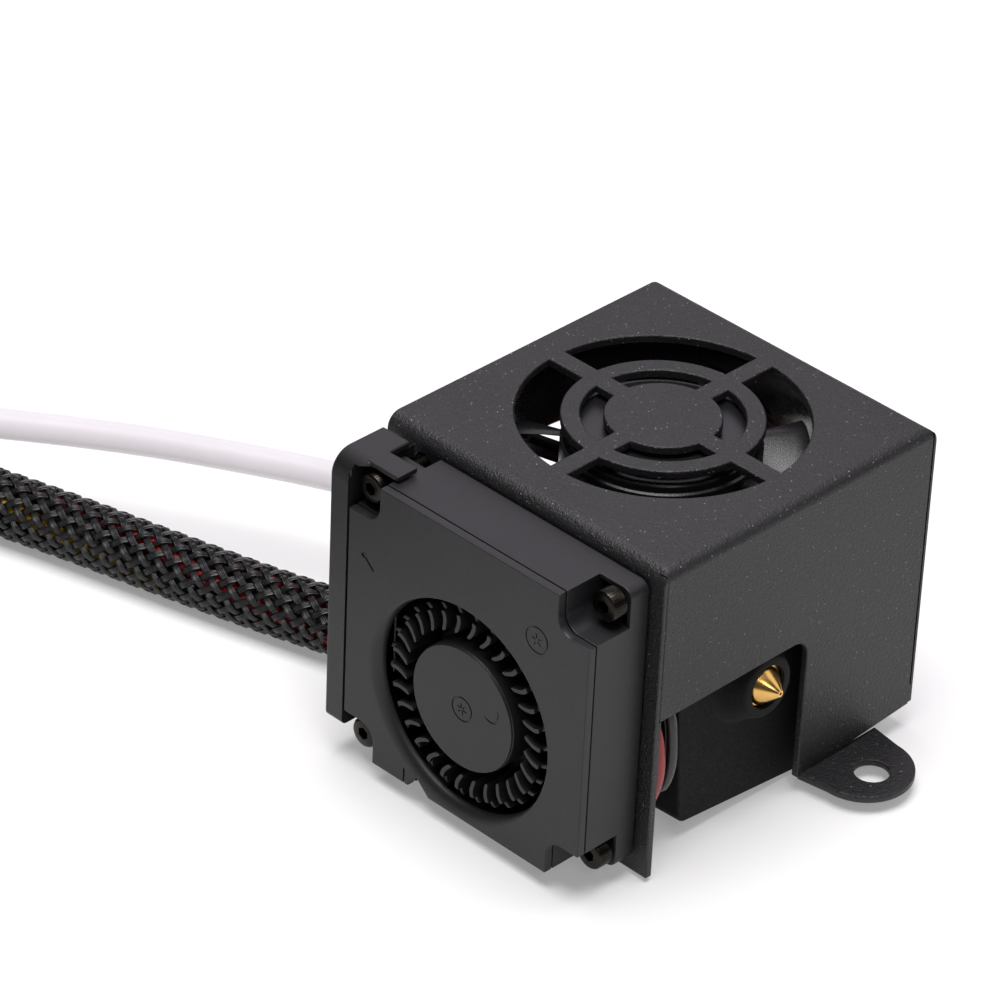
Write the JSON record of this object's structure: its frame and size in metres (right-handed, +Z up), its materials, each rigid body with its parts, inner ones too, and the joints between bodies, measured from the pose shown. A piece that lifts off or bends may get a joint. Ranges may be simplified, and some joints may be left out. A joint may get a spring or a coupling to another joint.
{
  "type": "3d printer hotend assembly",
  "caption": "Bowden hotend with silicone-socked brass nozzle and finned heat sink under a folded steel fan cover, with cooling fan, side blower, feed tube and sleeved harness.",
  "frame": {"origin": "on the surface that the assembly lies on, below the middle of its own box, which leaves out the free harness and feed tube with their collar, coils and plug", "axes": "+Z up out of the fan grille, -Y the way the nozzle points, +Y where the cords leave, -X the blower's side"},
  "size_m": [0.1656, 0.1736, 0.0443],
  "materials": {
    "black_powder_coat": "fine-textured satin black powder coat on folded sheet steel",
    "black_matte_plastic": "moulded black plastic with a fine spark texture",
    "black_gloss_plastic": "glossy black moulded plastic",
    "black_silicone": "dull black silicone rubber",
    "brass": "machined brass, bright with fine turning marks",
    "red_anodised_aluminium": "red anodised aluminium, satin",
    "aluminium": "milled aluminium, satin",
    "black_steel": "black oxide steel with a light oil sheen",
    "steel": "zinc-plated steel",
    "nickel_plate": "nickel-plated brass, bright",
    "white_ptfe": "translucent white PTFE, waxy",
    "copper_winding": "enamelled copper winding on a laminated core",
    "magnet": "dark bonded ferrite",
    "red_wire": "red wire insulation, satin",
    "black_wire": "black wire insulation, satin",
    "yellow_wire": "yellow wire insulation, satin",
    "braided_sleeve": "black expandable braided sleeving over round wires",
    "white_plug": "natural nylon connector housing"
  },
  "bodies": {
    "hotend_kit": {"air_duct": "black_gloss_plastic", "axial_fan_bearing": "brass", "axial_fan_frame": "black_gloss_plastic", "axial_fan_lead_black": "black_wire", "axial_fan_lead_red": "red_wire", "axial_fan_stator": "copper_winding", "blower_base": "black_matte_plastic", "blower_bearing": "brass", "blower_cover": "black_matte_plastic", "blower_lead_black": "black_wire", "blower_lead_yellow": "yellow_wire", "blower_nut_1": "steel", "blower_nut_2": "steel", "blower_nut_3": "steel", "blower_nut_4": "steel", "blower_screw_1": "black_steel", "blower_screw_2": "black_steel", "blower_screw_3": "black_steel", "blower_screw_4": "black_steel", "blower_stator": "copper_winding", "bowden_coil": "white_ptfe", "bowden_tube": "white_ptfe", "cartridge_grub_screw": "black_steel", "fan_cover": "black_powder_coat", "fan_nut_1": "steel", "fan_nut_2": "steel", "fitting_seal": "black_silicone", "harness_coil": "braided_sleeve", "harness_collar": "black_silicone", "harness_end_collar": "black_silicone", "harness_plug": "white_plug", "harness_sleeve": "braided_sleeve", "harness_tail": "braided_sleeve", "heat_break": "steel", "heat_sink": "red_anodised_aluminium", "heater_block": "aluminium", "heater_cartridge": "steel", "heater_lead": "red_wire", "nozzle": "brass", "silicone_sock": "black_silicone", "thermistor": "steel", "thermistor_lead": "black_wire", "thermistor_screw": "steel", "tube_fitting": "nickel_plate", "tube_liner": "white_ptfe"},
    "axial_fan_wheel": {"axial_fan_rotor": "black_gloss_plastic", "axial_fan_magnet": "magnet", "axial_fan_shaft": "steel"},
    "blower_wheel": {"blower_impeller": "black_matte_plastic", "blower_magnet": "magnet", "blower_shaft": "steel"},
    "collet_ring": {"fitting_collet": "black_matte_plastic"}
  },
  "joints": [
    {"name": "axial_fan_spin", "type": "hinge", "parent": "hotend_kit", "child": "axial_fan_wheel", "pos_m": [0.0059, 0.00211, 0.038], "axis": [0, 0, 1], "continuous": true},
    {"name": "blower_spin", "type": "hinge", "parent": "hotend_kit", "child": "blower_wheel", "pos_m": [-0.0237, 0.00024, 0.01853], "axis": [-1, 0, 0], "continuous": true},
    {"name": "collet_press", "type": "slide", "parent": "hotend_kit", "child": "collet_ring", "axis": [0, -0.9986, 0.0523], "range_m": [0, 0.001], "stiffness_N_per_m": 300}
  ]
}
